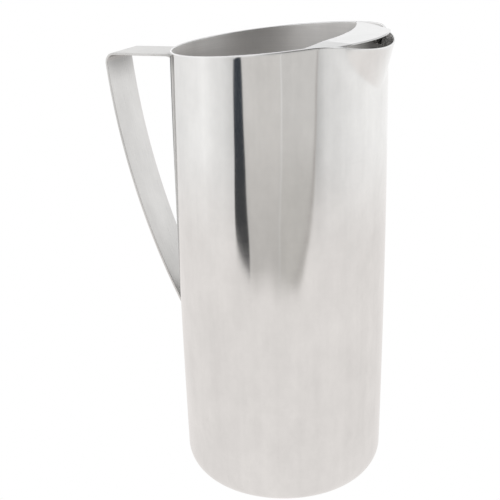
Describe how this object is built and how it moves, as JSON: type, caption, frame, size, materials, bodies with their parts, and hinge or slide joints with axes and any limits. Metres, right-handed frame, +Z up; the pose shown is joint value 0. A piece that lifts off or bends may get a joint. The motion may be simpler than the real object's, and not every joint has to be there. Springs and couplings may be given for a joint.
{
  "type": "water pitcher",
  "caption": "Tall round sheet-steel water pitcher with a pressed pouring spout, a crescent ice guard under the rim and a bent flat strap handle.",
  "frame": {"origin": "centre of the flat base, on the surface it stands on", "axes": "+Z up along the body's axis, +X towards the spout, -X towards the handle, +Y to the left of the spout"},
  "size_m": [0.1574, 0.1088, 0.2408],
  "materials": {
    "body_steel": "polished outside, brushed around inside",
    "guard_steel": "bright satin",
    "strap_steel": "satin",
    "weld_steel": "dull, polished over"
  },
  "bodies": {
    "root": {"body_shell": "body_steel", "ice_guard": "guard_steel", "handle_strap": "strap_steel", "handle_upper_spot_welds": "weld_steel", "handle_lower_spot_welds": "weld_steel", "guard_left_spot_welds": "weld_steel", "guard_right_spot_welds": "weld_steel"}
  },
  "joints": []
}
